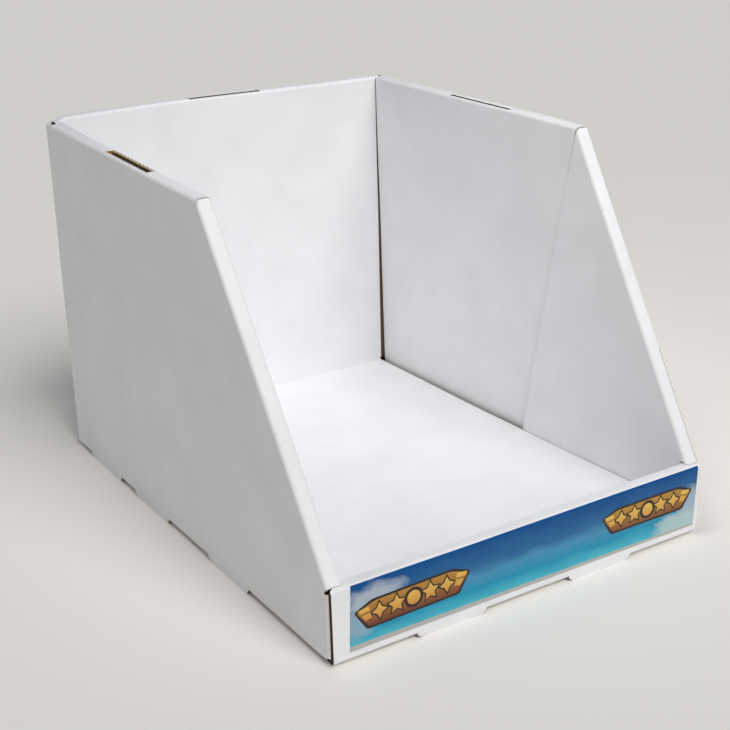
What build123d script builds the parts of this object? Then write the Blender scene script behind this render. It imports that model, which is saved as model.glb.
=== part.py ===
from build123d import *
import math
import os

# Countertop display tray folded from one sheet of white lined corrugated board,
# with a printed label glued on its lip. Millimetres, +Z up, front face towards -Y.
# Origin: middle of the footprint, at the tips of the tongues it stands on.

# Overall sizes
width = 300.0
depth = 400.0
height = 264.0
lip_height = 54.5
top_share = 0.655        # level part of a side wall's top, as a share of the depth

# Board and folds
board = 3.0
fold_outer = 2.6         # radius on the outside of a scored fold
fold_inner = 0.5         # radius inside it
side_ridge = 11.0        # flat band along the top of a side wall
back_ridge = 11.0
lip_ridge = 9.6

# Clearances between layers of the same sheet
layer_gap = 0.3
end_gap = 0.5
rear_gap = 1.1           # side walls' rear ends to the back
cut_gap = 0.6            # between the rear inner panel and the sloping flap
notch_gap = 1.3          # between the level band and the sloping band
corner_gap = 3.2         # open corner beside the back's band
edge_drop = 0.7          # raw edge of an inner panel in a slot, below the band's top

# Tongues under the outer panels
tongue_drop = 2.7
tongue_chamfer = 2.7
lip_tongue_width = 54.0
lip_tongue_offset = 61.0
side_tongue_width = 58.0
side_tongue_share = (0.34, 0.64, 0.85)   # centres, as shares of the depth from the front

# Inner panels
flap_foot_share = 0.4625 # rear corner of the sloping flap at its foot, from the front
foot_set_back = 3.7      # how far the rear inner panel's foot stands outwards
side_foot_clearance = 0.3
rear_flap_length = 70.0
lip_flap_length = 52.0

# Second floor, hinged on the foot of the back wall's inner panel
floor_rise = 14.5        # how much higher its front edge lies
floor_side_gap = 0.5

# Slots in the bands
side_slot_length = 71.0
side_slot_share = 0.6275     # centre, as a share of the depth from the front
back_slot_length = 62.0
slot_margin = 2.6            # from the outer face to the slot
tab_gap = 0.7                # kerf round a tab still in its slot
tab_end_gap = 0.6

# Label
label_thickness = 0.25
label_left = 10.0        # from the left edge of the front to the paper
label_right = 3.0
label_foot = 8.6
label_top_margin = 2.8

half_w = width / 2
half_d = depth / 2
base_z = tongue_drop
base_top = base_z + board
bend_y = half_d - top_share * depth
pocket_y = half_d - board - layer_gap            # outer face of the corner flaps
panel_y = pocket_y - board
slope_foot_y = -pocket_y
slope_angle = math.atan2(height - lip_height, bend_y - slope_foot_y)
rise_y = math.cos(slope_angle)
rise_z = math.sin(slope_angle)
inner_x = half_w - side_ridge                    # inner face of the side walls
inner_back_y = half_d - back_ridge
inner_lip_y = -half_d + lip_ridge
foot_z = base_top + side_foot_clearance
floor_rear_z = base_top + layer_gap + board
floor_front_y = inner_lip_y + end_gap
flap_rear_y = -half_d + flap_foot_share * depth
lip_half = inner_x - end_gap
back_half = half_w - board - corner_gap
side_rear_y = inner_back_y - rear_gap
lip_end = half_w - 1                             # ends of the front panel


def normalOf(a, b):
    length = math.hypot(b[0] - a[0], b[1] - a[1])
    return (-(b[1] - a[1]) / length, (b[0] - a[0]) / length)


def stripOutline(line):
    # The board's far face, one thickness to the left of the drawn face.
    far = []
    for i, point in enumerate(line):
        if i == 0 or i == len(line) - 1:
            n = normalOf(*(line[:2] if i == 0 else line[-2:]))
            far.append((point[0] + n[0] * board, point[1] + n[1] * board))
        else:
            n1 = normalOf(line[i - 1], point)
            n2 = normalOf(point, line[i + 1])
            k = board / (1 + n1[0] * n2[0] + n1[1] * n2[1])
            far.append((point[0] + (n1[0] + n2[0]) * k, point[1] + (n1[1] + n2[1]) * k))
    return far


def turnsLeft(a, b, c):
    return (b[0] - a[0]) * (c[1] - b[1]) - (b[1] - a[1]) * (c[0] - b[0]) > 0


def foldedStrip(plane, line):
    far = stripOutline(line)
    outer, inner = [], []
    for i in range(1, len(line) - 1):
        left = turnsLeft(line[i - 1], line[i], line[i + 1])
        outer.append(line[i] if left else far[i])
        inner.append(far[i] if left else line[i])
    with BuildSketch(plane) as strip:
        with BuildLine():
            Polyline(*line, *reversed(far), close=True)
        make_face()
        for corners, radius in ((outer, fold_outer), (inner, fold_inner)):
            fillet([strip.vertices().sort_by_distance(Vector(*corner, 0))[0]
                    for corner in corners], radius)
    return strip.sketch


def sectionXZ(y):
    return Plane(origin=(0, y, 0), x_dir=(1, 0, 0), z_dir=(0, -1, 0))


# The cut that parts the level band and its panel from the sloping band and flap.
cut_dir = Vector(0, flap_rear_y - bend_y, foot_z - height).normalized()
cut_normal = Vector(0, -cut_dir.Z, cut_dir.Y)       # points to the rear
bend = Vector(0, bend_y, height)


def cutPlane(shift):
    return Plane(origin=bend + cut_normal * shift, x_dir=(1, 0, 0), z_dir=cut_normal)


# Level band and rear inner panel of the right wall
with BuildPart() as side_top:
    extrude(foldedStrip(sectionXZ(side_rear_y), [
        (half_w, height - 30), (half_w, height), (inner_x, height),
        (inner_x + foot_set_back, foot_z)]),
            amount=side_rear_y - bend_y + 4)
    split(bisect_by=cutPlane(0), keep=Keep.TOP)

# Sloping band and its flap
slope_top = Plane(origin=(0, bend_y + 8 * rise_y, height + 8 * rise_z),
                  x_dir=(1, 0, 0), z_dir=(0, -rise_y, -rise_z))
slope_length = math.hypot(bend_y - slope_foot_y, height - lip_height)


def underSlope(y, drop):
    return lip_height + (y - slope_foot_y) * math.tan(slope_angle) - drop / math.cos(slope_angle)


with BuildPart() as side_slope:
    extrude(foldedStrip(slope_top, [
        (half_w, -14), (half_w, 0), (inner_x, 0), (inner_x, -8)]),
            amount=slope_length + 8)
    # The band stops on the lip's band
    with Locations((half_w - board / 2 - 0.5 - (side_ridge + 1) / 2, slope_foot_y, lip_height + layer_gap - 15)):
        Box(side_ridge + 1 - board + 1, 30, 30, mode=Mode.SUBTRACT)
    with BuildSketch(Plane.YZ.offset(inner_x)):
        with BuildLine():
            Polyline((floor_front_y, foot_z), (floor_front_y, underSlope(floor_front_y, 5)),
                     (bend_y + 5, underSlope(bend_y + 5, 5)),
                     (flap_rear_y, foot_z), close=True)
        make_face()
    extrude(amount=board)
    split(bisect_by=cutPlane(0), keep=Keep.BOTTOM)

# Outer panel, its corner flaps and the two bands
with BuildPart() as side_wall:
    with BuildSketch(Plane.YZ.offset(half_w - board)):
        with BuildLine():
            Polyline((-panel_y, base_top + 8), (panel_y, base_top + 8),
                     (panel_y, height - 4), (bend_y + 2.2, height - 4),
                     (-panel_y, underSlope(-panel_y, 4)), close=True)
        make_face()
    extrude(amount=board)
    add(side_top.part)
    add(side_slope.part)
    # The gap runs down between the inner panels; the outer panel is only
    # notched through its fold, where the two bands part
    above = bend - cut_dir * 5
    for deep, reach, gap in (((height - foot_z) * 1.1, side_ridge - board + 1, cut_gap),
                             (fold_outer * 1.7 + notch_gap, side_ridge + 2, notch_gap)):
        below = bend + cut_dir * deep
        with BuildSketch(Plane.YZ.offset(inner_x - 1)):
            with BuildLine():
                Polyline(*[(at.Y + cut_normal.Y * shift, at.Z + cut_normal.Z * shift)
                           for at, shift in ((above, gap / 2), (below, gap / 2),
                                             (below, -gap / 2), (above, -gap / 2))], close=True)
            make_face()
        extrude(amount=reach, mode=Mode.SUBTRACT)
    extrude(foldedStrip(Plane.XY.offset(foot_z), [
        (half_w, pocket_y - 20), (half_w, pocket_y), (half_w - board - rear_flap_length, pocket_y)]),
            amount=height - board - end_gap - foot_z)
    # Tip of the outer panel, standing up at the open rear corner
    with BuildSketch(Plane.XY.offset(height - 5)) as tip:
        with BuildLine():
            Polyline((half_w - board, side_rear_y), (half_w, side_rear_y), (half_w, pocket_y),
                     (half_w - board, pocket_y), close=True)
        make_face()
        fillet(tip.vertices().sort_by_distance(Vector(half_w, pocket_y, 0))[0], fold_outer)
    extrude(amount=5 - edge_drop)
    extrude(foldedStrip(Plane.XY.offset(foot_z), [
        (half_w - board - lip_flap_length, -pocket_y), (half_w, -pocket_y), (half_w, -pocket_y + 20)]),
            amount=lip_height - board - end_gap - 0.6 - foot_z)

section_yz = Plane.YZ


def tongueOutline(middle, length):
    a, b = middle - length / 2, middle + length / 2
    c = tongue_chamfer
    return [(a, base_z + 4), (a, base_z), (a + c, 0), (b - c, 0), (b, base_z), (b, base_z + 4)]


def tabKerf(hinge, free, along, axis):
    # Frees a tab on three sides; the inner panel's raw edge stands beside it
    reach = abs(free - hinge)
    inward = math.copysign(1, free - hinge)
    middle = sum(along) / 2
    length = along[1] - along[0]
    top_z = height - board / 2
    cuts = [(free - inward * tab_gap / 2, middle, tab_gap, length, top_z, board + 0.4),
            (free + inward * (board + 0.2) / 2, middle, board + 0.2, length, height - edge_drop + 1, 2)]
    for end, turn in ((along[0], 1), (along[1], -1)):
        cuts.append((free - inward * reach / 2, end + turn * tab_end_gap / 2, reach + 0.2, tab_end_gap, top_z, board + 0.4))
    for u, v, size_u, size_v, z, size_z in cuts:
        place, size = ((u, v), (size_u, size_v)) if axis == "x" else ((v, u), (size_v, size_u))
        with Locations((*place, z)):
            Box(*size, size_z, mode=Mode.SUBTRACT)


with BuildPart() as tray:
    # One strip: lip, base, back and second floor
    extrude(foldedStrip(section_yz, [
        (inner_lip_y, foot_z), (inner_lip_y, lip_height), (-half_d, lip_height),
        (-half_d, base_z), (half_d, base_z), (half_d, height), (inner_back_y, height),
        (inner_back_y, floor_rear_z), (floor_front_y, floor_rear_z + floor_rise)]),
            amount=lip_half, both=True)
    for side in (-1, 1):
        beside = Plane.YZ.offset(side * lip_half)
        # Lip band with its mitred end, outer lip panel and base at their full width
        extrude(foldedStrip(beside, [
            (inner_lip_y, lip_height), (-half_d, lip_height), (-half_d, base_z), (0, base_z)]),
                amount=side * (lip_end - lip_half))
        # Outer back panel, just inside the side walls' rear folds
        extrude(foldedStrip(beside, [
            (0, base_z), (half_d, base_z), (half_d, height - 1.1)]),
                amount=side * (half_w - board - lip_half))
        # The back's band and inner panel reach behind the side walls' panels
        extrude(foldedStrip(beside, [
            (half_d, height - 30), (half_d, height), (inner_back_y, height),
            (inner_back_y, floor_rear_z + 2)]),
                amount=side * (back_half - lip_half))
    for side in (-1, 1):
        with BuildSketch(Plane.XY.offset(lip_height - board - 0.5)):
            with BuildLine():
                Polyline((side * lip_half, inner_lip_y), (side * lip_end, -half_d + 1),
                         (side * (lip_end + 3), -half_d + 1), (side * (lip_end + 3), inner_lip_y + 3),
                         (side * lip_half, inner_lip_y + 3), close=True)
            make_face()
        extrude(amount=board + 1, mode=Mode.SUBTRACT)
    # Folds from the base into the sides
    extrude(foldedStrip(sectionXZ(panel_y), [
        (-half_w, base_top + 14), (-half_w, base_z), (half_w, base_z), (half_w, base_top + 14)]),
            amount=2 * panel_y)
    add(side_wall.part)
    mirror(side_wall.part, about=Plane.YZ)

    # Tongues cut out of the base, standing in line with the outer panels
    for face_y, sign in ((-half_d, 1), (half_d - board, -1)):
        for x in (-lip_tongue_offset, lip_tongue_offset):
            with BuildSketch(sectionXZ(face_y + board)):
                with BuildLine():
                    Polyline(*tongueOutline(x, lip_tongue_width), close=True)
                make_face()
            extrude(amount=board)
            with Locations((x, face_y + board / 2 + sign * (board + tongue_drop) / 2, base_z + board / 2)):
                Box(lip_tongue_width, tongue_drop, board, mode=Mode.SUBTRACT)
    for share in side_tongue_share:
        y = -half_d + share * depth
        for side in (-1, 1):
            with BuildSketch(Plane.YZ.offset(side * half_w - (board if side > 0 else 0))):
                with BuildLine():
                    Polyline(*tongueOutline(y, side_tongue_width), close=True)
                make_face()
            extrude(amount=board)
            with Locations((side * (half_w - board - tongue_drop / 2), y, base_z + board / 2)):
                Box(tongue_drop, side_tongue_width, board, mode=Mode.SUBTRACT)
    # Left band: an open slot, from just inside the outer fold to the inner fold
    slot_y = -half_d + side_slot_share * depth
    slot_width = side_ridge - board - slot_margin
    with Locations((-half_w + slot_margin + slot_width / 2, slot_y, height)):
        Box(slot_width, side_slot_length, 2 * board + 0.2, mode=Mode.SUBTRACT)
    with Locations((-inner_x - board / 2 + 0.1, slot_y, height - edge_drop + 1)):
        Box(board + 0.2, side_slot_length, 2, mode=Mode.SUBTRACT)
    # Right and back bands: the tab is still in its slot, cut free on three sides
    tabKerf(half_w - slot_margin, inner_x + board, (slot_y - side_slot_length / 2, slot_y + side_slot_length / 2), "x")
    tabKerf(half_d - slot_margin, inner_back_y + board, (-back_slot_length / 2, back_slot_length / 2), "y")

print("walls", tray.part.is_valid, len(tray.part.solids()), round(tray.part.volume))

os.makedirs("parts", exist_ok=True)
tray.part.label = "tray"
export_step(tray.part, "parts/tray.step")

with BuildPart() as label:
    with Locations(((label_left - label_right) / 2, -half_d - label_thickness / 2,
                    (label_foot + lip_height - label_top_margin) / 2)):
        Box(width - label_left - label_right, label_thickness,
            lip_height - label_top_margin - label_foot)

print("label", label.part.is_valid, round(label.part.volume, 1))
label.part.label = "label"
export_step(label.part, "parts/label.step")
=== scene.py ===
import math
import bmesh
import bpy
import numpy as np
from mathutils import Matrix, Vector, noise


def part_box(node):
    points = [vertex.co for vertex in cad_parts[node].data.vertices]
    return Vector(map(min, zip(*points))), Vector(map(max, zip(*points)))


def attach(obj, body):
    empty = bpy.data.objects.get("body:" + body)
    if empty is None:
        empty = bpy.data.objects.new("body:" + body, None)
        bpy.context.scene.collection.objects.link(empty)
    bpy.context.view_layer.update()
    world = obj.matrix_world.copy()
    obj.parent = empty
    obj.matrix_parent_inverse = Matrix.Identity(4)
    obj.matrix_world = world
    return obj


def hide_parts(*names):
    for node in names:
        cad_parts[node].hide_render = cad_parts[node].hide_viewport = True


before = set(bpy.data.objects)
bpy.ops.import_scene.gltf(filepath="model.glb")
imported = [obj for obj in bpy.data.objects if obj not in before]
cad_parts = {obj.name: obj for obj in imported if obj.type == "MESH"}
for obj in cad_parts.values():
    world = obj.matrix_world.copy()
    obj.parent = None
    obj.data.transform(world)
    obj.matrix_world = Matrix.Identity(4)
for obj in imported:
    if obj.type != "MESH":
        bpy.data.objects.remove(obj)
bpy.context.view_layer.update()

mm = 0.001
noise.seed_set(11)  # the board's ripple is the same on every run
print("frame loaded", sorted(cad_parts))


def toLinear(value):
    # sRGB hex to the linear colour that the shader sockets take
    parts = [int(value[i:i + 2], 16) / 255 for i in (1, 3, 5)]
    return tuple(c / 12.92 if c <= 0.04045 else ((c + 0.055) / 1.055) ** 2.4 for c in parts) + (1.0,)


def addNode(tree, kind, inputs=None, **settings):
    node = tree.nodes.new(kind)
    for name, value in settings.items():
        setattr(node, name, value)
    for name, value in (inputs or {}).items():
        if isinstance(value, bpy.types.NodeSocket):
            tree.links.new(value, node.inputs[name])
        else:
            node.inputs[name].default_value = value
    return node


def smooth(values, start, end):
    t = np.clip((values - start) / (end - start), 0, 1)
    return t * t * (3 - 2 * t)


# Camera, floor and light
view = {"place": (-0.5332, -0.8583, 0.5068), "turn": (67.96, 1.364, -32.578), "lens": 73.15}
cameraData = bpy.data.cameras.new("viewCamera")
cameraData.lens = view["lens"]
cameraData.sensor_width = 36
camera = bpy.data.objects.new("viewCamera", cameraData)
camera.location = view["place"]
camera.rotation_euler = [math.radians(a) for a in view["turn"]]
bpy.context.scene.collection.objects.link(camera)
bpy.context.scene.camera = camera

studio = {"floorHalf": 9.0, "floorColour": "#fdf9f2", "worldColour": "#f6f9ff", "worldStrength": 0.27}
floorMesh = bpy.data.meshes.new("studioFloor")
half = studio["floorHalf"]
floorMesh.from_pydata([(-half, -half, 0), (half, -half, 0), (half, half, 0), (-half, half, 0)], [], [(0, 1, 2, 3)])
studioFloor = bpy.data.objects.new("studioFloor", floorMesh)
bpy.context.scene.collection.objects.link(studioFloor)
floorPaint = bpy.data.materials.new("mattPaperBackdrop")
floorPaint.use_nodes = True
floorPaint.node_tree.nodes["Principled BSDF"].inputs["Base Color"].default_value = toLinear(studio["floorColour"])
floorPaint.node_tree.nodes["Principled BSDF"].inputs["Roughness"].default_value = 0.9
floorMesh.materials.append(floorPaint)

world = bpy.data.worlds.new("softWorld")
world.use_nodes = True
world.node_tree.nodes["Background"].inputs["Color"].default_value = toLinear(studio["worldColour"])
world.node_tree.nodes["Background"].inputs["Strength"].default_value = studio["worldStrength"]
bpy.context.scene.world = world
bpy.context.scene.view_settings.view_transform = "Standard"
# A very large soft box high in front, and a small one over the open top that
# lights the inside
softBox = {"kind": "SUN", "place": (0.05, -0.66, 0.75), "aim": (0, 0, 0), "strength": 1.7, "spread": 38}
insideFill = {"kind": "AREA", "place": (-0.12, -0.15, 0.75), "aim": (0.14, 0, 0.12), "strength": 0.2, "spread": 70,
              "size": 0.2}
for lampName, lampLook in (("softBox", softBox), ("insideFill", insideFill)):
    lampData = bpy.data.lights.new(lampName, lampLook["kind"])
    lampData.energy = lampLook["strength"]
    if lampLook["kind"] == "SUN":
        lampData.angle = math.radians(lampLook["spread"])
    else:
        lampData.shape = "DISK"
        lampData.size = lampLook["size"]
        lampData.spread = math.radians(lampLook["spread"])
    lamp = bpy.data.objects.new(lampName, lampData)
    lamp.location = lampLook["place"]
    facing = Vector(lampLook["aim"]) - Vector(lampLook["place"])
    lamp.rotation_euler = facing.to_track_quat("-Z", "Y").to_euler()
    bpy.context.scene.collection.objects.link(lamp)
print("studio ready")


boardLook = {"flutePitch": 6.4, "fluteDepth": 0.035, "white": "#f3f3f4", "whiteShade": "#eeeeef",
             "scuff": "#d2c5ae", "kraft": "#96744a", "kraftShade": "#6f5434"}


def newMaterial(name):
    material = bpy.data.materials.new(name)
    material.use_nodes = True
    tree = material.node_tree
    return material, tree, tree.nodes["Principled BSDF"]


def whiteLinedBoard():
    # Clay coated white liner on corrugated board: matt, a little mottled, the
    # flutes under it just showing, scuffed to the fibre along its folds
    material, tree, shader = newMaterial("whiteLinedCorrugatedBoard")
    place = addNode(tree, "ShaderNodeTexCoord")
    sheet = addNode(tree, "ShaderNodeUVMap", uv_map="sheet")
    worn = addNode(tree, "ShaderNodeAttribute", attribute_name="foldWear", attribute_type="GEOMETRY")
    # Cloudy coating, patches of 40 mm; fibres under 1 mm drawn at 1.5 mm to show
    cloudy = addNode(tree, "ShaderNodeTexNoise",
                     {"Vector": place.outputs["Object"], "Scale": 1 / (40 * mm), "Detail": 3.0})
    fibre = addNode(tree, "ShaderNodeTexNoise",
                    {"Vector": place.outputs["Object"], "Scale": 1 / (1.5 * mm), "Detail": 2.0})
    tint = addNode(tree, "ShaderNodeValToRGB", {"Fac": cloudy.outputs["Fac"]})
    tint.color_ramp.elements[0].position = 0.35
    tint.color_ramp.elements[0].color = toLinear(boardLook["whiteShade"])
    tint.color_ramp.elements[1].position = 0.65
    tint.color_ramp.elements[1].color = toLinear(boardLook["white"])
    scuffNoise = addNode(tree, "ShaderNodeTexNoise",
                         {"Vector": place.outputs["Object"], "Scale": 1 / (5 * mm), "Detail": 5.0,
                          "Roughness": 0.65})
    scuffMask = addNode(tree, "ShaderNodeMapRange",
                        {"Value": scuffNoise.outputs["Fac"], "From Min": 0.60, "From Max": 0.78})
    scuff = addNode(tree, "ShaderNodeMath", {0: scuffMask.outputs["Result"], 1: worn.outputs["Fac"]},
                    operation="MULTIPLY")
    colour = addNode(tree, "ShaderNodeMix",
                     {"Factor": scuff.outputs["Value"], 6: tint.outputs["Color"],
                      7: toLinear(boardLook["scuff"])}, data_type="RGBA")
    tree.links.new(colour.outputs[2], shader.inputs["Base Color"])
    rough = addNode(tree, "ShaderNodeMapRange", {"Value": fibre.outputs["Fac"], "To Min": 0.48, "To Max": 0.66})
    tree.links.new(rough.outputs["Result"], shader.inputs["Roughness"])
    shader.inputs["Specular IOR Level"].default_value = 0.4
    # Washboard: one ripple to a flute, across the flutes
    along = addNode(tree, "ShaderNodeSeparateXYZ", {"Vector": sheet.outputs["UV"]})
    phase = addNode(tree, "ShaderNodeMath",
                    {0: along.outputs["X"], 1: 2 * math.pi / (boardLook["flutePitch"] * mm)}, operation="MULTIPLY")
    ripple = addNode(tree, "ShaderNodeMath", {0: phase.outputs["Value"]}, operation="SINE")
    washboard = addNode(tree, "ShaderNodeBump",
                        {"Height": ripple.outputs["Value"], "Strength": 0.5,
                         "Distance": boardLook["fluteDepth"] * mm})
    grain = addNode(tree, "ShaderNodeBump",
                    {"Height": fibre.outputs["Fac"], "Strength": 0.25, "Distance": 0.08 * mm,
                     "Normal": washboard.outputs["Normal"]})
    tree.links.new(grain.outputs["Normal"], shader.inputs["Normal"])
    return material


def kraftLiner():
    # Unbleached kraft paper, rough and matt, its fibres running along the flutes
    material, tree, shader = newMaterial("brownKraftLiner")
    sheet = addNode(tree, "ShaderNodeUVMap", uv_map="sheet")
    # Fibres about 4 mm long and 0.6 mm apart
    stretch = addNode(tree, "ShaderNodeMapping",
                      {"Vector": sheet.outputs["UV"], "Scale": (1 / (0.6 * mm), 1 / (4 * mm), 1.0)})
    fibre = addNode(tree, "ShaderNodeTexNoise", {"Vector": stretch.outputs["Vector"], "Scale": 1.0, "Detail": 4.0})
    tint = addNode(tree, "ShaderNodeValToRGB", {"Fac": fibre.outputs["Fac"]})
    tint.color_ramp.elements[0].position = 0.3
    tint.color_ramp.elements[0].color = toLinear(boardLook["kraftShade"])
    tint.color_ramp.elements[1].position = 0.7
    tint.color_ramp.elements[1].color = toLinear(boardLook["kraft"])
    tree.links.new(tint.outputs["Color"], shader.inputs["Base Color"])
    shader.inputs["Roughness"].default_value = 0.88
    shader.inputs["Specular IOR Level"].default_value = 0.25
    bump = addNode(tree, "ShaderNodeBump", {"Height": fibre.outputs["Fac"], "Strength": 0.4, "Distance": 0.1 * mm})
    tree.links.new(bump.outputs["Normal"], shader.inputs["Normal"])
    return material


def cutEdge(name, acrossFlutes, hollowPaintedShade, fluting, linerEdge):
    # Die cut edge of the board: two liners and the fluted paper between them; the hollows between the flutes are a
    # darker colour, painted shade over the brown paper inside
    material, tree, shader = newMaterial(name)
    sheet = addNode(tree, "ShaderNodeUVMap", uv_map="sheet")
    place = addNode(tree, "ShaderNodeTexCoord")
    part = addNode(tree, "ShaderNodeSeparateXYZ", {"Vector": sheet.outputs["UV"]})
    level = addNode(tree, "ShaderNodeMath", {0: part.outputs["Y"], 1: 1 / (3 * mm)}, operation="MULTIPLY")
    fromMiddle = addNode(tree, "ShaderNodeMath", {0: level.outputs["Value"], 1: 0.5}, operation="SUBTRACT")
    distance = addNode(tree, "ShaderNodeMath", {0: fromMiddle.outputs["Value"]}, operation="ABSOLUTE")
    liner = addNode(tree, "ShaderNodeMapRange",
                    {"Value": distance.outputs["Value"], "From Min": 0.36, "From Max": 0.40})
    if acrossFlutes:
        phase = addNode(tree, "ShaderNodeMath",
                        {0: part.outputs["X"],
                         1: 2 * math.pi / (boardLook["flutePitch"] * mm)}, operation="MULTIPLY")
        wave = addNode(tree, "ShaderNodeMath", {0: phase.outputs["Value"]}, operation="SINE")
        centre = addNode(tree, "ShaderNodeMath", {0: wave.outputs["Value"], 1: 0.33}, operation="MULTIPLY")
        away = addNode(tree, "ShaderNodeMath", {0: fromMiddle.outputs["Value"], 1: centre.outputs["Value"]},
                       operation="SUBTRACT")
        apart = addNode(tree, "ShaderNodeMath", {0: away.outputs["Value"]}, operation="ABSOLUTE")
        medium = addNode(tree, "ShaderNodeMapRange",
                         {"Value": apart.outputs["Value"], "From Min": 0.22, "From Max": 0.12})
        paper = addNode(tree, "ShaderNodeMath", {0: liner.outputs["Result"], 1: medium.outputs["Result"]},
                        operation="MAXIMUM")
    else:
        paper = liner
    rag = addNode(tree, "ShaderNodeTexNoise",
                  {"Vector": place.outputs["Object"], "Scale": 1 / (1.2 * mm), "Detail": 3.0})
    pulp = addNode(tree, "ShaderNodeMix",
                   {"Factor": rag.outputs["Fac"], 6: toLinear(fluting), 7: toLinear(linerEdge)}, data_type="RGBA")
    # The flute hollows get the darker colour: painted shade over the brown paper inside
    colour = addNode(tree, "ShaderNodeMix", {"Factor": paper.outputs[0], 6: toLinear(hollowPaintedShade), 7: pulp.outputs[2]},
                     data_type="RGBA")
    tree.links.new(colour.outputs[2], shader.inputs["Base Color"])
    shader.inputs["Roughness"].default_value = 0.9
    shader.inputs["Specular IOR Level"].default_value = 0.2
    bump = addNode(tree, "ShaderNodeBump", {"Height": paper.outputs[0], "Strength": 0.6, "Distance": 0.3 * mm})
    tree.links.new(bump.outputs["Normal"], shader.inputs["Normal"])
    return material


boardMaterials = [whiteLinedBoard(), kraftLiner(),
                  cutEdge("cutEdgeAcrossFlutes", True, "#6b5236", "#c9b184", "#ebe2cd"),
                  cutEdge("cutEdgeAlongFlutes", False, "#8a6d48", "#cdb88e", "#e9dfc8"),
                  # Cut edge in dark colours: painted shade for edges deep in corners, gaps and slits
                  cutEdge("cutEdgePaintedShade", True, "#2b1f18", "#4d3a2a", "#6d5640")]
print("board materials ready")


# The sheet, with the lean and bow that folded board takes up; all in mm
tray = {"board": 3.0, "halfWidth": 150.0, "halfDepth": 200.0, "height": 264.0, "lipHeight": 54.5,
        "sideRidge": 11.0, "backRidge": 11.0, "lipRidge": 9.6, "base": 2.7, "bend": -62.0, "flapRear": -15.0,
        "slopeFoot": -196.7, "floorRear": 9.0, "floorRise": 14.5,
        # how it has settled: lean of each wall at its bend, with the bend's shift back and up
        "leanLeft": -3.7, "leanRight": 5.3, "shiftLeft": (1.3, -0.4), "shiftRight": (-2.8, 1.7),
        "backBow": 4.0, "backLift": 3.0, "floorSag": 1.8, "ripple": 0.35, "rippleSpan": 85,
        # where the flat faces are cut so that they can bend
        "cell": 14.0, "cutsAcross": (135.5, 139.3, 145.6), "cutsDeep": (-195.5, 185.5, 195.8),
        "cutsUp": (12, 49, 258.2), "cutsUnderSlope": (5.0, 9.0),
        # wear along the folds and the cut edges, and more of it low on the right slope
        "foldWear": 1.0, "edgeWear": 0.7, "slopeWear": 2.5}

slopeLength = math.hypot(tray["bend"] - tray["slopeFoot"], tray["height"] - tray["lipHeight"])
riseY = (tray["bend"] - tray["slopeFoot"]) / slopeLength
riseZ = (tray["height"] - tray["lipHeight"]) / slopeLength
innerX = tray["halfWidth"] - tray["sideRidge"]
innerBackY = tray["halfDepth"] - tray["backRidge"]
innerLipY = -tray["halfDepth"] + tray["lipRidge"]
top, depthHalf, base, board = tray["height"], tray["halfDepth"], tray["base"], tray["board"]
floorTilt = tray["floorRise"] / (innerBackY - innerLipY)

# Panels of the sheet, right half: lowest corner, highest corner, direction of the printed side,
# a point on that side, direction of the flutes
panels = (
    ("outerSide", (147, -197, 0), (150, 197, top), (1, 0, 0), (150, 0, 0), (0, 0, 1)),
    ("levelBand", (139, tray["bend"] - 3, top - 3), (150, 188.5, top), (0, 0, 1), (0, 0, top), (1, 0, 0)),
    ("rearInner", (139, tray["bend"] - 1, 6), (145.8, 188.5, top), (-1, 0, -0.0143), (139, 0, top), (0, 0, 1)),
    ("slopeBand", (139, -197, 40), (150, tray["bend"] + 2, top), (0, -riseZ, riseY), (0, tray["bend"], top),
     (1, 0, 0)),
    ("flap", (139, -190, 6), (142, tray["flapRear"], top), (-1, 0, 0), (139, 0, 0), (0, 0, 1)),
    ("base", (0, -200, base), (150, 200, base + 3), (0, 0, -1), (0, 0, base), (1, 0, 0)),
    ("lipOuter", (0, -200, 0), (150, -197, tray["lipHeight"]), (0, -1, 0), (0, -200, 0), (1, 0, 0)),
    ("lipBand", (0, -200, tray["lipHeight"] - 3), (149, innerLipY, tray["lipHeight"]), (0, 0, 1),
     (0, 0, tray["lipHeight"]), (1, 0, 0)),
    ("lipInner", (0, innerLipY - 3, 6), (138.5, innerLipY, tray["lipHeight"]), (0, 1, 0), (0, innerLipY, 0),
     (1, 0, 0)),
    ("backOuter", (0, 197, 0), (150, 200, top), (0, 1, 0), (0, 200, 0), (1, 0, 0)),
    ("backBand", (0, innerBackY, top - 3), (146.7, 200, top), (0, 0, 1), (0, 0, top), (1, 0, 0)),
    ("backInner", (0, innerBackY, 6), (146.7, innerBackY + 3, top), (0, -1, 0), (0, innerBackY, 0), (1, 0, 0)),
    ("floor", (0, innerLipY, 5.9), (138.5, innerBackY + 3, 26), (0, floorTilt, 1),
     (0, innerBackY, tray["floorRear"]), (1, 0, 0)),
    ("rearCorner", (77, 193.7, 6), (150, 196.7, 263.4), (0, 1, 0), (0, 196.7, 0), (0, 0, 1)),
    ("lipCorner", (95, -196.7, 6), (150, -193.7, 50.4), (0, -1, 0), (0, -196.7, 0), (0, 0, 1)),
)


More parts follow.
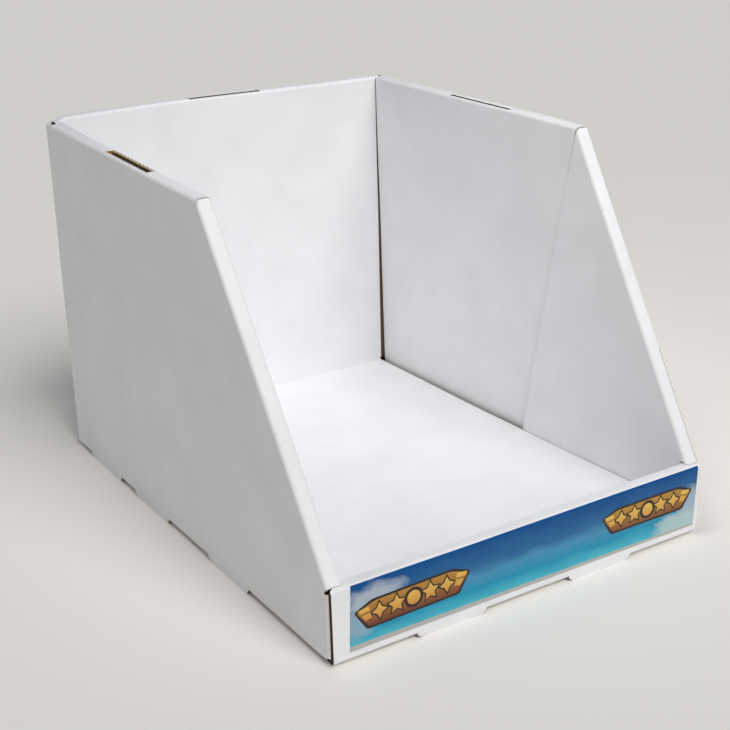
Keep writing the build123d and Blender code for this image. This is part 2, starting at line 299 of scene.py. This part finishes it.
def settle(points):
    # Points in mm. The same smooth shift moves every layer, so they stay apart.
    x, y, z = points.T
    up = np.clip((z - base) / (top - base), 0, 1)
    side = smooth(np.abs(x), 100, innerX)
    towardFront = smooth(-y, -depthHalf, -tray["bend"])
    dx = side * up ** 1.4 * np.where(x < 0, tray["leanLeft"], tray["leanRight"]) * towardFront
    dy = np.where(x > 0, tray["shiftRight"][0], tray["shiftLeft"][0]) * side * up ** 1.4 * towardFront
    dz = np.where(x > 0, tray["shiftRight"][1], tray["shiftLeft"][1]) * side * up ** 2 * towardFront
    across = smooth(x, -146, -134) * (1 - smooth(x, -60, 143))
    back = smooth(y, 120, innerBackY) * up ** 2
    dy += tray["backBow"] * across * back
    dz += tray["backLift"] * across * back
    onFloor = (np.abs(x) < innerX - 0.3) & (z > base + board + 0.1) & (z < 26)
    onFloor &= (y > innerLipY + 0.2) & (y < innerBackY)
    dz -= onFloor * tray["floorSag"] * np.clip(1 - (y / innerBackY) ** 2, 0, 1)
    moved = points + np.column_stack([dx, dy, dz])
    for i, p in enumerate(points):
        moved[i] += np.array(noise.noise_vector(Vector(p) / tray["rippleSpan"])) * tray["ripple"]
    return moved


# Places in boardMaterials; the last is a cut edge in dark colours, as painted shade
whiteSide, kraftSide, cutAcross, cutAlong, paintedShadeEdge = range(5)


def sheetSide(centre, normal):
    # Which face of the board a polygon is, and how its sheet coordinates run
    c = np.array([abs(centre[0]), centre[1], centre[2]])
    n = np.array([normal[0] * (1 if centre[0] >= 0 else -1), normal[1], normal[2]])
    best = None
    for name, low, high, face, point, flute in panels:
        if any(c[i] < low[i] - 0.12 or c[i] > high[i] + 0.12 for i in range(3)):
            continue
        v = np.array(face) / np.linalg.norm(face)
        below = -np.dot(c - np.array(point), v)
        if below < -0.15 or below > board + 0.15:
            continue
        dot = float(np.dot(n, v))
        if abs(dot) > 0.98 and min(abs(below), abs(below - board)) > 0.2:
            continue
        if best is None or abs(dot) > abs(best[0]):
            best = (dot, v, np.array(point), np.array(flute, float))
    if best is None:
        return kraftSide, (1, 0, 0), (0, 0, 1), None
    dot, v, point, flute = best
    if abs(dot) >= 0.3:
        ridge = np.cross(v, flute)
        kind = whiteSide if dot > 0 else kraftSide
        # Kraft faces deep in the front corner take the dark edge colour as painted shade
        if kind == kraftSide and c[0] > 146 and c[1] < -190 and c[2] < 60:
            kind = paintedShadeEdge
        if c[0] > innerX + 0.3 and c[1] > innerBackY - 0.3 and n[1] < -0.9 and c[2] < 262:
            # Inside the open joint, where the wall stops short of the back: painted shade in the gap
            kind = paintedShadeEdge
        if centre[0] > 148.1 and c[1] < -150 and 0.35 < n[0] < 0.99 and c[2] > tray["lipHeight"]:
            # Liner cracked along the fold, low on the right slope
            kind = kraftSide
        return kind, ridge, flute, None
    along = np.cross(n, v)
    frontCorner = c[0] > 146 and c[1] < -190
    rearCorner = c[0] > 138 and c[1] > 185
    slit = c[2] > 258 and (centre[0] > 138 or c[1] > 188)
    bendCut = c[2] > 120 and tray["bend"] - 90 < c[1] < tray["bend"] + 6
    slopeToe = 136 < c[0] < 143 and c[1] < -184 and c[2] > 38
    # The cut end at the top of the bend takes the dark edge colour as painted shade
    if bendCut and centre[0] > 142 and c[2] > 259:
        return paintedShadeEdge, along, v, point
    if bendCut or slopeToe or (n[2] > 0.7 and (slit or (rearCorner and c[2] > 250))):
        # Edges that show no brown
        return whiteSide, along, v, None
    # Cut edges in the corners and in the slit take the dark edge colour as painted shade
    if frontCorner or rearCorner or slit:
        return paintedShadeEdge, along, v, point
    return (cutAcross if abs(np.dot(n, flute)) > 0.5 else cutAlong), along, v, point


def makeTray():
    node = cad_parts["tray"]
    bm = bmesh.new()
    bm.from_mesh(node.data)
    bmesh.ops.remove_doubles(bm, verts=bm.verts, dist=2e-6)
    low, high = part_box("tray")
    cuts = []
    for axis in range(3):
        count = round((high[axis] - low[axis]) / (tray["cell"] * mm))
        cuts += [(axis, low[axis] + (high[axis] - low[axis]) * i / count) for i in range(1, count)]
    cuts += [(0, s * v * mm) for s in (-1, 1) for v in tray["cutsAcross"]]
    cuts += [(1, v * mm) for v in tray["cutsDeep"]] + [(2, v * mm) for v in tray["cutsUp"]]
    for axis, value in cuts:
        point, direction = Vector((0, 0, 0)), Vector((0, 0, 0))
        point[axis], direction[axis] = value, 1
        bmesh.ops.bisect_plane(bm, geom=bm.verts[:] + bm.edges[:] + bm.faces[:], dist=1e-6, plane_co=point,
                               plane_no=direction)
    for drop in tray["cutsUnderSlope"]:
        bmesh.ops.bisect_plane(bm, geom=bm.verts[:] + bm.edges[:] + bm.faces[:], dist=1e-6,
                               plane_co=Vector((0, tray["bend"] + drop * riseZ,
                                                top - drop * riseY)) * mm, plane_no=Vector((0, -riseZ, riseY)))
    bm.normal_update()
    print("tray cut into", len(bm.faces), "faces")

    uv = bm.loops.layers.uv.new("sheet")
    wear = bm.verts.layers.float.new("foldWear")
    counts = [0, 0, 0, 0, 0]
    for face in bm.faces:
        centre = np.array(face.calc_center_median()) / mm
        normal = np.array(face.normal)
        kind, u, v, point = sheetSide(centre, normal)
        face.material_index = kind
        counts[kind] += 1
        mirror = -1 if centre[0] < 0 else 1
        for loop in face.loops:
            p = np.array(loop.vert.co) / mm
            p[0] *= mirror
            if point is None:
                loop[uv].uv = (float(np.dot(p, u)) * mm, float(np.dot(p, v)) * mm)
            else:
                loop[uv].uv = (float(np.dot(p, u)) * mm, float(np.dot(point - p, v)) * mm)
        flat = max(abs(normal[0]), abs(normal[1]), abs(normal[2]), abs(normal[1] * -riseZ + normal[2] * riseY))
        if kind == whiteSide and flat < 0.985:
            for vert in face.verts:
                vert[wear] = tray["foldWear"]
        elif kind > kraftSide:
            for vert in face.verts:
                vert[wear] = max(vert[wear], tray["edgeWear"])
    for vert in bm.verts:
        x, y, z = np.array(vert.co) / mm
        if x > 149 and y < -140:
            vert[wear] *= 1.0 + tray["slopeWear"] * (-140 - y) / 60
    # The last count is of faces given the painted shade edge
    print("printed, kraft, cut across, cut along, corner:", counts)

    mesh = bpy.data.meshes.new("foldedTray")
    bm.to_mesh(mesh)
    bm.free()
    points = np.array([v.co for v in mesh.vertices]).reshape(-1, 3) / mm
    mesh.vertices.foreach_set("co", (settle(points) * mm).ravel())
    mesh.update()
    for material in boardMaterials:
        mesh.materials.append(material)
    for polygon in mesh.polygons:
        polygon.use_smooth = True
    mesh.set_sharp_from_angle(angle=math.radians(35))
    piece = bpy.data.objects.new("foldedTray", mesh)
    bpy.context.scene.collection.objects.link(piece)
    weighted = piece.modifiers.new("flatFaces", "WEIGHTED_NORMAL")
    weighted.keep_sharp = True
    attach(piece, "root")
    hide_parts("tray")
    return piece


foldedTray = makeTray()
print("tray ready")


# Fluted paper showing in the cut edges of the slot; all in mm
flutes = {"pitch": 6.4, "height": 2.2, "reach": 0.35, "paper": 0.28,
          # start, end, across the board, out of the edge; mm, before the sheet settles
          "edges": (((-147.4, 16, 262.5), (-147.4, 86, 262.5), (0, 0, 1), (1, 0, 0)),
                    ((-140.6, 16, 263.3), (-140.6, 86, 263.3), (0.8, 0, 0), (0, 0, 1)))}


def fluteTree(material):
    tree = bpy.data.node_groups.new("flutedEdge", "GeometryNodeTree")
    tree.interface.new_socket("Geometry", in_out="INPUT", socket_type="NodeSocketGeometry")
    for name in ("Pitch", "Height", "Reach", "Paper"):
        tree.interface.new_socket(name, in_out="INPUT", socket_type="NodeSocketFloat")
    tree.interface.new_socket("Geometry", in_out="OUTPUT", socket_type="NodeSocketGeometry")
    given = addNode(tree, "NodeGroupInput")
    result = addNode(tree, "NodeGroupOutput")
    line = addNode(tree, "GeometryNodeMeshToCurve", {"Mesh": given.outputs["Geometry"]})
    step = addNode(tree, "ShaderNodeMath", {0: given.outputs["Pitch"], 1: 10.0}, operation="DIVIDE")
    fine = addNode(tree, "GeometryNodeResampleCurve", {"Curve": line.outputs["Curve"], "Length": step.outputs[0]},
                   mode="LENGTH")
    way = addNode(tree, "GeometryNodeSplineParameter")
    turns = addNode(tree, "ShaderNodeMath", {0: way.outputs["Length"], 1: given.outputs["Pitch"]},
                    operation="DIVIDE")
    phase = addNode(tree, "ShaderNodeMath", {0: turns.outputs[0], 1: 2 * math.pi}, operation="MULTIPLY")
    wave = addNode(tree, "ShaderNodeMath", {0: phase.outputs[0]}, operation="SINE")
    half = addNode(tree, "ShaderNodeMath", {0: given.outputs["Height"], 1: 0.5}, operation="MULTIPLY")
    swing = addNode(tree, "ShaderNodeMath", {0: wave.outputs[0], 1: half.outputs[0]}, operation="MULTIPLY")
    across = addNode(tree, "GeometryNodeInputNamedAttribute", {"Name": "across"}, data_type="FLOAT_VECTOR")
    offset = addNode(tree, "ShaderNodeVectorMath", {0: across.outputs["Attribute"], "Scale": swing.outputs[0]},
                     operation="SCALE")
    waved = addNode(tree, "GeometryNodeSetPosition",
                    {"Geometry": fine.outputs["Curve"], "Offset": offset.outputs["Vector"]})
    edges = addNode(tree, "GeometryNodeCurveToMesh", {"Curve": waved.outputs["Geometry"]})
    outward = addNode(tree, "GeometryNodeInputNamedAttribute", {"Name": "outward"}, data_type="FLOAT_VECTOR")
    ribbon = addNode(tree, "GeometryNodeExtrudeMesh",
                     {"Mesh": edges.outputs["Mesh"], "Offset": outward.outputs["Attribute"],
                      "Offset Scale": given.outputs["Reach"]}, mode="EDGES")
    solid = addNode(tree, "GeometryNodeExtrudeMesh",
                    {"Mesh": ribbon.outputs["Mesh"], "Offset Scale": given.outputs["Paper"],
                     "Individual": False}, mode="FACES")
    whole = addNode(tree, "GeometryNodeRealizeInstances", {"Geometry": solid.outputs["Mesh"]})
    painted = addNode(tree, "GeometryNodeSetMaterial",
                      {"Geometry": whole.outputs["Geometry"], "Material": material})
    tree.links.new(painted.outputs["Geometry"], result.inputs["Geometry"])
    return tree


def makeFlutes():
    material, nodes, shader = newMaterial("flutingPaper")
    # Semi-chemical fluting medium, torn soft where the die has cut it
    place = addNode(nodes, "ShaderNodeTexCoord")
    rag = addNode(nodes, "ShaderNodeTexNoise",
                  {"Vector": place.outputs["Object"], "Scale": 1 / (0.9 * mm), "Detail": 3.0})
    pulp = addNode(nodes, "ShaderNodeMix",
                   {"Factor": rag.outputs["Fac"], 6: toLinear("#c9b284"), 7: toLinear("#ece2cb")}, data_type="RGBA")
    nodes.links.new(pulp.outputs[2], shader.inputs["Base Color"])
    shader.inputs["Roughness"].default_value = 0.92
    verts, edges, across, outward = [], [], [], []
    for start, end, side, out in flutes["edges"]:
        line = settle(np.array([start, end], float)) * mm
        edges.append((len(verts), len(verts) + 1))
        verts += [tuple(p - np.array(out) * 0.1 * mm) for p in line]
        across += [side, side]
        outward += [out, out]
    mesh = bpy.data.meshes.new("fluteLines")
    mesh.from_pydata(verts, edges, [])
    for name, values in (("across", across), ("outward", outward)):
        layer = mesh.attributes.new(name, "FLOAT_VECTOR", "POINT")
        layer.data.foreach_set("vector", np.array(values, np.float32).ravel())
    lines = bpy.data.objects.new("fluteLines", mesh)
    bpy.context.scene.collection.objects.link(lines)
    tree = fluteTree(material)
    wavy = lines.modifiers.new("flutes", "NODES")
    wavy.node_group = tree
    sizes = {"Pitch": flutes["pitch"], "Height": flutes["height"], "Reach": flutes["reach"],
             "Paper": flutes["paper"]}
    for item in tree.interface.items_tree:
        if item.in_out == "INPUT" and item.name in sizes:
            wavy[item.identifier] = sizes[item.name] * mm
    bpy.context.view_layer.update()
    solid = bpy.data.meshes.new_from_object(lines.evaluated_get(bpy.context.evaluated_depsgraph_get()))
    lines.modifiers.clear()
    bpy.data.objects.remove(lines)
    bm = bmesh.new()
    bm.from_mesh(solid)
    bmesh.ops.remove_doubles(bm, verts=bm.verts, dist=1e-6)
    bmesh.ops.recalc_face_normals(bm, faces=bm.faces)
    bm.to_mesh(solid)
    bm.free()
    print("flute faces", len(solid.polygons))
    solid.name = "cutFlutes"
    piece = bpy.data.objects.new("cutFlutes", solid)
    bpy.context.scene.collection.objects.link(piece)
    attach(piece, "root")
    return piece


cutFlutes = makeFlutes()
print("flutes ready")


# Printed label on the lip; all in mm
labelLook = {"left": (-137.6, -135.4), "right": (145.0, 146.3), "foot": 8.6, "top": 53.6, "paper": 0.25,
             "length": 283, "height": 45, "bareFoot": (3.6, 1.9), "columns": 82, "rowsOnFlat": 12,
             "skyTop": "#024f8e", "sky": "#2a6a9c", "haze": "#4a92b6", "sea": "#1c93b6", "seaLight": "#4db9cb",
             # the grey at the label's foot is bare paper with painted shadow
             "cloud": "#b3bfca", "sand": "#bccfce", "bareFootPaintedShadow": "#b9b6b2", "driftSize": (30, 16), "puffSize": (12,
                                                                                                                7),
             # centre and half size in parts of the label's length and height, strength, colour
             "clouds": ((0.065, 0.72, 0.10, 0.26, 0.9, "cloud"), (0.02, 0.42, 0.06, 0.34, 0.55, "cloud"),
                        (0.985, 0.42, 0.06, 0.36, 0.8, "cloud"), (0.95, 0.14, 0.10, 0.24, 0.85, "sand")),
             "rim": "#24150c", "plaqueTop": "#c08a2e", "plaqueFoot": "#6e2a10", "spotFoot": "#c9702a",
             "spot": "#efcb5a"}

# Two winged plates: centre, length, height, turn. Each has two bars a wing and a row of
# symbols: points, waist, radius, on a plate 90 long and 20 high.
plates = {"places": (((-90.5, 31.0), 87.0, 20.0, 0.02), ((101.5, 33.6), 81.0, 18.5, 0.0)), "rimWidth": 1.7,
          "wingBars": (((42.0, 4.9), (34.0, 5.9), (33.2, 2.6), (40.2, 1.8)),
                       ((39.2, 0.5), (33.0, 1.2), (32.0, -2.8), (36.6, -3.6))),
          "symbols": ((4, 0.5, 5.6), (5, 0.5, 6.4), (16, 0.97, 5.0), (5, 0.5, 6.4), (4, 0.5, 5.6)),
          "symbolGap": 13.0, "symbolRise": 0.3, "symbolRim": 2.2, "inkLift": 0.03, "ringStep": 4}


def printedPaper():
    # Gloss coated paper, offset printed with a plain sky over shallow sea
    material, tree, shader = newMaterial("offsetPrintedPaper")
    art = addNode(tree, "ShaderNodeUVMap", uv_map="art")
    part = addNode(tree, "ShaderNodeSeparateXYZ", {"Vector": art.outputs["UV"]})
    # u runs 0 to 1 along the label, v 0 to 1 up it; noise is drawn in mm
    inMm = addNode(tree, "ShaderNodeMapping", {"Vector": art.outputs["UV"],
                                               "Scale": (labelLook["length"] / labelLook["driftSize"][0],
                                                         labelLook["height"] / labelLook["driftSize"][1], 1.0)})
    drift = addNode(tree, "ShaderNodeTexNoise",
                    {"Vector": inMm.outputs["Vector"], "Scale": 1.0, "Detail": 5.0, "Roughness": 0.6})
    shift = addNode(tree, "ShaderNodeMapRange", {"Value": drift.outputs["Fac"], "To Min": -0.16, "To Max": 0.16})
    height = addNode(tree, "ShaderNodeMath", {0: part.outputs["Y"], 1: shift.outputs["Result"]}, operation="ADD")
    ramp = addNode(tree, "ShaderNodeValToRGB", {"Fac": height.outputs[0]})
    stops = ((0.05, labelLook["seaLight"]), (0.28, labelLook["sea"]), (0.46, labelLook["haze"]),
             (0.62, labelLook["sky"]), (0.95, labelLook["skyTop"]))
    ramp.color_ramp.elements[0].position, ramp.color_ramp.elements[0].color = stops[0][0], toLinear(stops[0][1])
    ramp.color_ramp.elements[1].position, ramp.color_ramp.elements[1].color = stops[-1][0], toLinear(stops[-1][1])
    for position, colour in stops[1:-1]:
        ramp.color_ramp.elements.new(position).color = toLinear(colour)
    picture = ramp.outputs["Color"]
    cloudMap = addNode(tree, "ShaderNodeMapping", {"Vector": art.outputs["UV"],
                                                   "Scale": (labelLook["length"] / labelLook["puffSize"][0],
                                                             labelLook["height"] / labelLook["puffSize"][1], 1.0)})
    puff = addNode(tree, "ShaderNodeTexNoise",
                   {"Vector": cloudMap.outputs["Vector"], "Scale": 1.0, "Detail": 6.0, "Roughness": 0.62})
    for u, v, halfU, halfV, strength, colour in labelLook["clouds"]:
        offset = addNode(tree, "ShaderNodeVectorMath", {0: art.outputs["UV"], 1: (u, v, 0)}, operation="SUBTRACT")
        scaled = addNode(tree, "ShaderNodeVectorMath", {0: offset.outputs["Vector"], 1: (1 / halfU, 1 / halfV, 0)},
                         operation="MULTIPLY")
        reach = addNode(tree, "ShaderNodeVectorMath", {0: scaled.outputs["Vector"]}, operation="LENGTH")
        ragged = addNode(tree, "ShaderNodeMath", {0: reach.outputs["Value"], 1: puff.outputs["Fac"]},
                         operation="ADD")
        mask = addNode(tree, "ShaderNodeMapRange",
                       {"Value": ragged.outputs[0], "From Min": 1.45, "From Max": 1.0, "To Max": strength})
        mixed = addNode(tree, "ShaderNodeMix",
                        {"Factor": mask.outputs["Result"], 6: picture,
                         7: toLinear(labelLook[colour])}, data_type="RGBA")
        picture = mixed.outputs[2]
    # Bare paper along the foot, below the print, wider at the left, painted grey as shadow along the label's edge
    footLeft, footRight = labelLook["bareFoot"]
    edge = addNode(tree, "ShaderNodeMath",
                   {0: part.outputs["X"], 1: (footLeft - footRight) / labelLook["height"],
                    2: part.outputs["Y"]}, operation="MULTIPLY_ADD")
    bareShadowMask = addNode(tree, "ShaderNodeMapRange",
                   {"Value": edge.outputs[0], "From Min": footLeft / labelLook["height"] + 0.004,
                    "From Max": footLeft / labelLook["height"] - 0.004})
    paper = addNode(tree, "ShaderNodeMix",
                    {"Factor": bareShadowMask.outputs["Result"], 6: picture,
                     7: toLinear(labelLook["bareFootPaintedShadow"])}, data_type="RGBA")
    tree.links.new(paper.outputs[2], shader.inputs["Base Color"])
    gloss = addNode(tree, "ShaderNodeMapRange", {"Value": drift.outputs["Fac"], "To Min": 0.30, "To Max": 0.42})
    tree.links.new(gloss.outputs["Result"], shader.inputs["Roughness"])
    shader.inputs["Specular IOR Level"].default_value = 0.22
    return material


def inkMaterial(name, foot, head=None):
    material, tree, shader = newMaterial(name)
    art = addNode(tree, "ShaderNodeUVMap", uv_map="art")
    part = addNode(tree, "ShaderNodeSeparateXYZ", {"Vector": art.outputs["UV"]})
    dots = addNode(tree, "ShaderNodeTexNoise", {"Vector": art.outputs["UV"], "Scale": 180.0, "Detail": 2.0})
    mixed = addNode(tree, "ShaderNodeMath", {0: dots.outputs["Fac"], 1: 0.25, 2: part.outputs["Y"]},
                    operation="MULTIPLY_ADD")
    ramp = addNode(tree, "ShaderNodeValToRGB", {"Fac": mixed.outputs[0]})
    ramp.color_ramp.elements[0].position, ramp.color_ramp.elements[0].color = 0.42, toLinear(foot)
    ramp.color_ramp.elements[1].position, ramp.color_ramp.elements[1].color = 0.85, toLinear(head or foot)
    tree.links.new(ramp.outputs["Color"], shader.inputs["Base Color"])
    shader.inputs["Roughness"].default_value = 0.36
    return material


def plaqueOutline(length, height, inset):
    # Winged plate, its foot narrower than its head, with rounded corners
    a, b, c = length / 2 - inset, height / 2 - inset, height * 0.3
    corners = [(-a, b * 0.45), (-a + c * 2.2, b), (a - c * 2.2, b), (a, b * 0.45), (a - c * 1.5, -b),
               (-a + c * 1.5, -b)]
    outline = []
    for i, corner in enumerate(corners):
        before, after = Vector(corners[i - 1]), Vector(corners[(i + 1) % 6])
        here = Vector(corner)
        p0 = here + (before - here).normalized() * 2.2
        p2 = here + (after - here).normalized() * 2.2
        for step in range(6):
            t = step / 5
            outline.append(p0 * (1 - t) ** 2 + here * 2 * t * (1 - t) + p2 * t * t)
    return outline


def starOutline(radius, points, waist):
    return [Vector((math.sin(math.pi * i / points),
                    math.cos(math.pi * i / points))) * (radius if i % 2 == 0 else radius * waist)
            for i in range(points * 2)]


def makeLabel():
    foot, head, columns = labelLook["foot"], labelLook["top"], labelLook["columns"]
    verts, faces = [], []

    def endsAt(z):
        t = (z - foot) / (head - foot)
        return [side[0] + (side[1] - side[0]) * t for side in (labelLook["left"], labelLook["right"])]

    def artPlace(x, z):
        left, right = endsAt(z)
        return ((x - left) / (right - left), (z - foot) / (head - foot))

    def front(z, lift):
        # The paper is flat on the lip and follows its top fold
        fold = tray["lipHeight"] - board
        if z <= fold:
            return -depthHalf - lift
        return -depthHalf + board - math.sqrt((board + lift) ** 2 - (z - fold) ** 2)

    heights = list(np.linspace(foot, 51.4, labelLook["rowsOnFlat"] + 1)) + [52.0, 52.6, 53.1, head]
    rows = len(heights) - 1
    for lift in (labelLook["paper"], 0.0):
        for i in range(columns + 1):
            for z in heights:
                left, right = endsAt(z)
                verts.append((left + (right - left) * i / columns, front(z, lift), float(z)))
    size = (columns + 1) * (rows + 1)
    index = lambda layer, i, j: layer * size + i * (rows + 1) + j
    for i in range(columns):
        for j in range(rows):
            faces.append((index(0, i, j), index(0, i + 1, j), index(0, i + 1, j + 1), index(0, i, j + 1)))
            faces.append((index(1, i, j), index(1, i, j + 1), index(1, i + 1, j + 1), index(1, i + 1, j)))
    for i in range(columns):
        faces.append((index(0, i, 0), index(1, i, 0), index(1, i + 1, 0), index(0, i + 1, 0)))
        faces.append((index(0, i, rows), index(0, i + 1, rows), index(1, i + 1, rows), index(1, i, rows)))
    for j in range(rows):
        faces.append((index(0, 0, j), index(0, 0, j + 1), index(1, 0, j + 1), index(1, 0, j)))
        faces.append((index(0, columns, j), index(1, columns, j), index(1, columns, j + 1),
                      index(0, columns, j + 1)))
    kinds = [0] * len(faces)

    def printShape(corners, centre, lift, kind, turn=0.0):
        # A patch of ink, a hair in front of the paper, in rings so that it follows the paper
        outline = []
        for a, b in zip(corners, corners[1:] + corners[:1]):
            steps = max(1, math.ceil((b - a).length / plates["ringStep"]))
            outline += [a.lerp(b, i / steps) for i in range(steps)]
        rings = max(1, math.ceil(max(p.length for p in outline) / plates["ringStep"]))
        start, count = len(verts), len(outline)
        for ring in range(rings, 0, -1):
            for p in outline:
                q = Vector((p.x * math.cos(turn) - p.y * math.sin(turn),
                            p.x * math.sin(turn) + p.y * math.cos(turn))) * (ring / rings)
                verts.append((centre[0] + q.x, -200.0 - labelLook["paper"] - lift, centre[1] + q.y))
        middle = len(verts)
        verts.append((centre[0], -200.0 - labelLook["paper"] - lift, centre[1]))
        for ring in range(rings - 1):
            for i in range(count):
                a, b = start + ring * count + i, start + ring * count + (i + 1) % count
                faces.append((a, b, b + count, a + count))
                kinds.append(kind)
        for i in range(count):
            faces.append((middle, start + (rings - 1) * count + i, start + (rings - 1) * count + (i + 1) % count))
            kinds.append(kind)

    def bar(a, b, c, d):
        middle = (Vector(a) + Vector(b) + Vector(c) + Vector(d)) / 4
        return middle, [Vector(corner) - middle for corner in (a, b, c, d)]

    lift, gap = plates["inkLift"], plates["symbolGap"]
    for centre, length, height, turn in plates["places"]:
        grow, tall = length / 90, height / 20
        printShape(plaqueOutline(length, height, 0), centre, lift, 1, turn)
        printShape(plaqueOutline(length, height, plates["rimWidth"]), centre, lift * 2, 2, turn)
        for s in (-1, 1):
            for corners in plates["wingBars"]:
                middle, outline = bar(*[(s * x * grow, z * tall) for x, z in corners])
                printShape(outline, (centre[0] + middle.x, centre[1] + middle.y + turn * middle.x), lift * 4, 3,
                           turn)
        for i, (points, waist, radius) in enumerate(plates["symbols"]):
            along = (i - 2) * gap * grow
            place = (centre[0] + along, centre[1] + plates["symbolRise"] + turn * along)
            printShape(starOutline(radius * tall + plates["symbolRim"], points, waist), place, lift * 3, 1, turn)
            printShape(starOutline(radius * tall, points, waist), place, lift * 4, 3, turn)

    mesh = bpy.data.meshes.new("printedLabel")
    mesh.from_pydata(verts, [], faces)
    layer = mesh.uv_layers.new(name="art")
    for loop in mesh.loops:
        x, _, z = verts[loop.vertex_index]
        layer.data[loop.index].uv = artPlace(x, z)
    for polygon, kind in zip(mesh.polygons, kinds):
        polygon.material_index = kind
    points = np.array(verts, float)
    mesh.vertices.foreach_set("co", (settle(points) * mm).ravel())
    mesh.update()
    for material in (printedPaper(), inkMaterial("darkBrownInk", labelLook["rim"]),
                     inkMaterial("yellowToOrangeInk", labelLook["plaqueFoot"], labelLook["plaqueTop"]),
                     inkMaterial("yellowInk", labelLook["spotFoot"], labelLook["spot"])):
        mesh.materials.append(material)
    bm = bmesh.new()
    bm.from_mesh(mesh)
    for face in bm.faces:
        if face.material_index > 0 and face.normal.y > 0:
            face.normal_flip()
    bm.to_mesh(mesh)
    bm.free()
    piece = bpy.data.objects.new("printedLabel", mesh)
    bpy.context.scene.collection.objects.link(piece)
    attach(piece, "root")
    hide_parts("label")
    return piece


printedLabel = makeLabel()
print("label ready")
